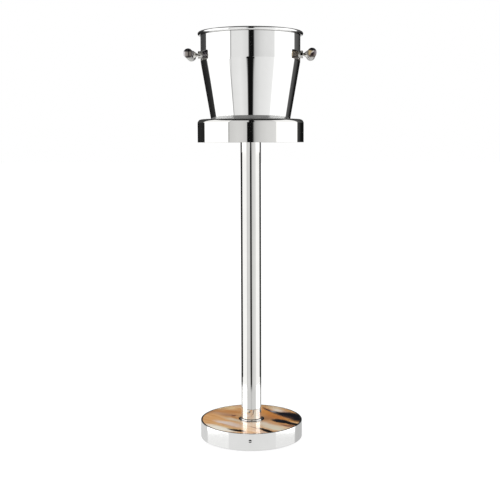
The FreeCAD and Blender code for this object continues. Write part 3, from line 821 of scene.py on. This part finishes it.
# The studio's rings, as ring_of_panels() takes them. The first four are what the cone, the tube, the
# drum and the upright wall reflect. The last two are for rays that have been mirrored twice, as by the
# horn or the sheet: the low one shows in the lower tube and at the sides of the base's ring, the high
# one in the rest of that ring and in the holder's top.
CONE_RING = {
    "whites": (-117.4, 120), "line": -49.0, "stripe": (-7.3, 6.5), "sides": DARK_SIDES,
    "tones": [(-46, 0.80), (-25, 0.87), (-9, 0.74), (8.0, 0.55), (14, 0.70), (24, 0.80), (55.9, 0.92)],
}
TUBE_RING = {
    "whites": (-119.5, 120), "line": -46.5, "stripe": (-9.8, 9.0), "sides": DARK_SIDES,
    "tones": [(-46, 0.80), (-25, 0.84), (-11, 0.76), (10, 0.62), (14, 0.72), (24, 0.81), (55.9, 0.94)],
}
DRUM_RING = {
    "whites": (-117.3, 117.9), "line": -47.8, "stripe": (-7.7, 5.6), "sides": DRUM_SIDES,
    "tones": [
        (-45, 0.76), (-28, 0.84), (-17, 0.82), (-9, 0.72), (7.6, 0.47), (12, 0.62), (22, 0.76),
        (35, 0.85), (55.9, 0.92),
    ],
    "bright": (1.5, 1.5),
}
WALL_RING = {
    "whites": (-122.0, 119.5), "line": -45.8, "stripe": (-4.4, 7.8), "sides": WALL_SIDES,
    "tones": [
        (-43, 0.80), (-20, 0.82), (-6, 0.72), (9.4, 0.50), (14, 0.58), (23, 0.71), (34, 0.78),
        (55.9, 0.83),
    ],
}
TWICE_LOW_RING = {
    "whites": (-118.3, 115), "line": -52.0, "stripe": (-6.0, 6.0), "sides": TWICE_SIDES,
    "tones": [(-50, 0.68), (-7, 0.68), (7, 0.68), (55.9, 0.68)],
    "joint": 0.68, "gap": 0.40, "bright": (3.8, 3.8),
}
TWICE_HIGH_RING = {
    "whites": (-118.3, 115), "line": -52.0, "stripe": (-6.0, 6.0), "sides": TWICE_SIDES,
    "tones": [(-50, 0.70), (-7, 0.70), (7, 0.70), (55.9, 0.70)],
    "joint": 0.70, "gap": 0.68, "bright": (0.92, 0.83),
}
RIGHT_PANEL = 57.3          # bearing of the right white panel's inner end

# Where one ring gives way to the next, in degrees above level.
CONE_TO_TUBE = (3.8, 6.4)   # above the cone's own reflection, which dips most in front
TUBE_TO_DRUM = (-0.9, 0.2)
DRUM_TO_WALL = (2.2, 4.6)
TWICE_LOW_TO_HIGH = (17.5, 17.65)
TWICE_STARTS = (7, 8)
CEILING = (44.0, 52.0)
GROUND = (-34.0, -40.0)
BACK_PANEL = (172, 174)     # bearings of the grey panel behind the object, on both sides
BACK_PANEL_TOP = (9, 6)
SECOND_BOUNCE = (1.4, 1.6)  # between the first and the second mirror on a ray's way


def floor():
    """Plain pale floor for the camera, and a small glossy sheet that only reflections see."""
    pale, t = material("floor_look")
    tone = t.ramp(t.noise(t.place(), 3.0, 4.0), [(0.3, 0.32), (0.7, 0.34)])
    t.surface(Base_Color=tone, Roughness=0.9, Emission_Color=WHITE, Emission_Strength=0.68)
    wide = turned("floor", straight((FLOOR_RADIUS, -FLOOR_DROP), (0, -FLOOR_DROP)), FEW_SEGMENTS)
    wide.data.materials.append(pale)
    wide.visible_glossy = False

    sheet, t = material("sheet_look")
    gone = t.step(t.length(t.place()), *NEAR_FLOOR_FADE)
    glow = t.add("ShaderNodeEmission", {"Color": (0.40, 0.40, 0.40), "Strength": 1.0})
    mirror = t.add("ShaderNodeBsdfGlossy", {"Color": (0.55, 0.55, 0.55), "Roughness": 0.03})
    both = t.add("ShaderNodeAddShader", {0: glow, 1: mirror})
    clear = t.add("ShaderNodeBsdfTransparent")
    mixed = t.add("ShaderNodeMixShader", {0: gone, 1: both, 2: clear})
    t.add("ShaderNodeOutputMaterial", {"Surface": mixed})
    near = turned("near_floor", straight((NEAR_FLOOR_RADIUS, 0), (0, 0)), FEW_SEGMENTS)
    near.data.materials.append(sheet)
    reflections_only(near)


def reflections_only(piece):
    """Stages a piece that only reflections see."""
    piece.visible_camera = False
    piece.visible_diffuse = False
    piece.visible_shadow = False


def flag(name, start, end):
    """Black strip beside the column that narrows the white panels low down; bearings in degrees.

    Rays that come by way of the glossy sheet pass through it.
    """
    cloth, t = material(name + "_look")
    weave = t.noise(t.place(), 900.0, 2.0)
    black = t.add("ShaderNodeEmission", {"Color": t.ramp(weave, [(0.3, 0.010), (0.7, 0.022)])})
    depth = t.add("ShaderNodeLightPath").node.outputs["Glossy Depth"]
    clear = t.add("ShaderNodeBsdfTransparent")
    mixed = t.add("ShaderNodeMixShader", {0: t.step(depth, *SECOND_BOUNCE), 1: black, 2: clear})
    t.add("ShaderNodeOutputMaterial", {"Surface": mixed})
    bm = bmesh.new()
    corners = []
    for bearing, height in ((start, 0), (end, 0), (end, FLAG_TOP), (start, FLAG_TOP)):
        a = math.radians(bearing + CAMERA_AZIMUTH)
        corners.append(bm.verts.new((FLAG_DISTANCE * math.sin(a), -FLAG_DISTANCE * math.cos(a), height)))
    bm.faces.new(corners)
    mesh = bpy.data.meshes.new(name)
    bm.to_mesh(mesh)
    bm.free()
    strip = bpy.data.objects.new(name, mesh)
    bpy.context.scene.collection.objects.link(strip)
    mesh.materials.append(cloth)
    reflections_only(strip)


def ring_of_panels(t, fraction, whites, line, stripe, tones, sides, joint=0.22, gap=0.006, bright=(1.2, 1.2)):
    """Reflected studio at one height: dark sides, white panels, grey screen and its black gap.

    whites are the outer ends of the white panels, line is the joint on the left and stripe the two ends
    of the gap, all in degrees to the right of the camera; tones and sides are lists of (degrees, grey).
    joint and gap are greys, and bright is how bright the left and right panels are.
    """
    def at(degrees):
        return degrees / 360 + 0.5

    left, right = whites
    stops = [(at(d), grey) for d, grey in sides if d < 0]
    stops += [
        (at(left - 0.8), stops[-1][1]), (at(left + 0.8), bright[0]), (at(line - 1), bright[0]),
        (at(line - 0.4), joint), (at(line + 0.6), joint), (at(line + 1.6), tones[0][1]),
    ]
    stops += [(at(d), grey) for d, grey in tones if d < stripe[0]]
    stops += [(at(stripe[0] - 0.3), stops[-1][1])]
    stops += [(at(stripe[0] + 0.5), gap), (at(stripe[1] - 0.5), gap)]
    stops += [(at(d), grey) for d, grey in tones if d > stripe[0]]
    stops += [(at(RIGHT_PANEL), bright[1]), (at(right - 0.8), bright[1])]
    stops += [(at(d), grey) for d, grey in sides if d > 0]
    return t.ramp(fraction, stops)


def panels(t, glossy_depth):
    """Colour of the reflected studio in each direction, for rays mirrored once or more often."""
    x, y, z = t.split(t.vector("NORMALIZE", t.add("ShaderNodeTexCoord")))
    bearing = t.math("ARCTAN2", x, t.math("MULTIPLY", y, -1.0))
    bearing = t.math("SUBTRACT", bearing, math.radians(CAMERA_AZIMUTH))
    fraction = t.math("MULTIPLY_ADD", bearing, 1 / (2 * math.pi), 0.5)
    rise = t.math("MULTIPLY", t.math("ARCSINE", z), 180 / math.pi)

    dip = t.math("COSINE", t.math("MULTIPLY", bearing, 0.5))
    level = t.math("MULTIPLY_ADD", dip, math.degrees(2 * CONE_ANGLE), rise)
    around = ring_of_panels(t, fraction, **CONE_RING)
    around = t.mix(t.step(level, *CONE_TO_TUBE), around, ring_of_panels(t, fraction, **TUBE_RING))
    around = t.mix(t.step(rise, *TUBE_TO_DRUM), around, ring_of_panels(t, fraction, **DRUM_RING))
    around = t.mix(t.step(rise, *DRUM_TO_WALL), around, ring_of_panels(t, fraction, **WALL_RING))

    low = ring_of_panels(t, fraction, **TWICE_LOW_RING)
    high = ring_of_panels(t, fraction, **TWICE_HIGH_RING)
    mirrored_twice = t.math("MULTIPLY", t.step(glossy_depth, *SECOND_BOUNCE), t.step(rise, *TWICE_STARTS))
    around = t.mix(mirrored_twice, around, t.mix(t.step(rise, *TWICE_LOW_TO_HIGH), low, high))

    behind = t.step(t.math("ABSOLUTE", bearing), *(math.radians(d) for d in BACK_PANEL))
    behind = t.math("MULTIPLY", behind, t.step(rise, *BACK_PANEL_TOP))
    around = t.mix(behind, around, (0.60, 0.60, 0.60))
    around = t.mix(t.step(rise, *CEILING), around, (0.018, 0.018, 0.018))
    return t.mix(t.step(rise, *GROUND), around, WHITE)


def studio_world():
    """White room for the camera and for soft light; panels round the object for reflections."""
    world = bpy.data.worlds.new("studio")
    bpy.context.scene.world = world
    t = Tree(world)
    ray = t.tree.nodes.new("ShaderNodeLightPath").outputs
    reflected = t.add("ShaderNodeBackground", {"Color": panels(t, ray["Glossy Depth"]), "Strength": 1.0})
    white = t.add("ShaderNodeBackground", {"Color": WHITE, "Strength": 1.0})
    soft = t.add("ShaderNodeBackground", {"Color": WHITE, "Strength": 1.35})
    lit = t.add("ShaderNodeMixShader", {0: ray["Is Glossy Ray"], 1: soft, 2: reflected})
    seen = t.add("ShaderNodeMixShader", {0: ray["Is Camera Ray"], 1: lit, 2: white})
    t.add("ShaderNodeOutputWorld", {"Surface": seen})


def camera():
    """Perspective camera, placed and turned as the constants say."""
    data = bpy.data.cameras.new("camera")
    data.lens = CAMERA_LENS
    data.sensor_width = SENSOR_WIDTH
    data.clip_end = 100.0
    eye = bpy.data.objects.new("camera", data)
    bpy.context.scene.collection.objects.link(eye)
    a = math.radians(CAMERA_AZIMUTH)
    pitch = math.radians(CAMERA_PITCH)
    yaw = a + math.radians(CAMERA_YAW)
    ahead = Vector((-math.sin(yaw) * math.cos(pitch), math.cos(yaw) * math.cos(pitch), -math.sin(pitch)))
    turn = ahead.to_track_quat("-Z", "Y").to_matrix().to_4x4()
    roll = Matrix.Rotation(-math.radians(CAMERA_ROLL), 4, "Z")
    spot = Vector((math.sin(a) * CAMERA_DISTANCE, -math.cos(a) * CAMERA_DISTANCE, CAMERA_HEIGHT))
    eye.matrix_world = Matrix.Translation(spot) @ turn @ roll
    bpy.context.scene.camera = eye


bpy.context.scene.view_settings.view_transform = "Standard"
floor()
flag("left_flag", *LEFT_FLAG)
flag("right_flag", *RIGHT_FLAG)
studio_world()
camera()
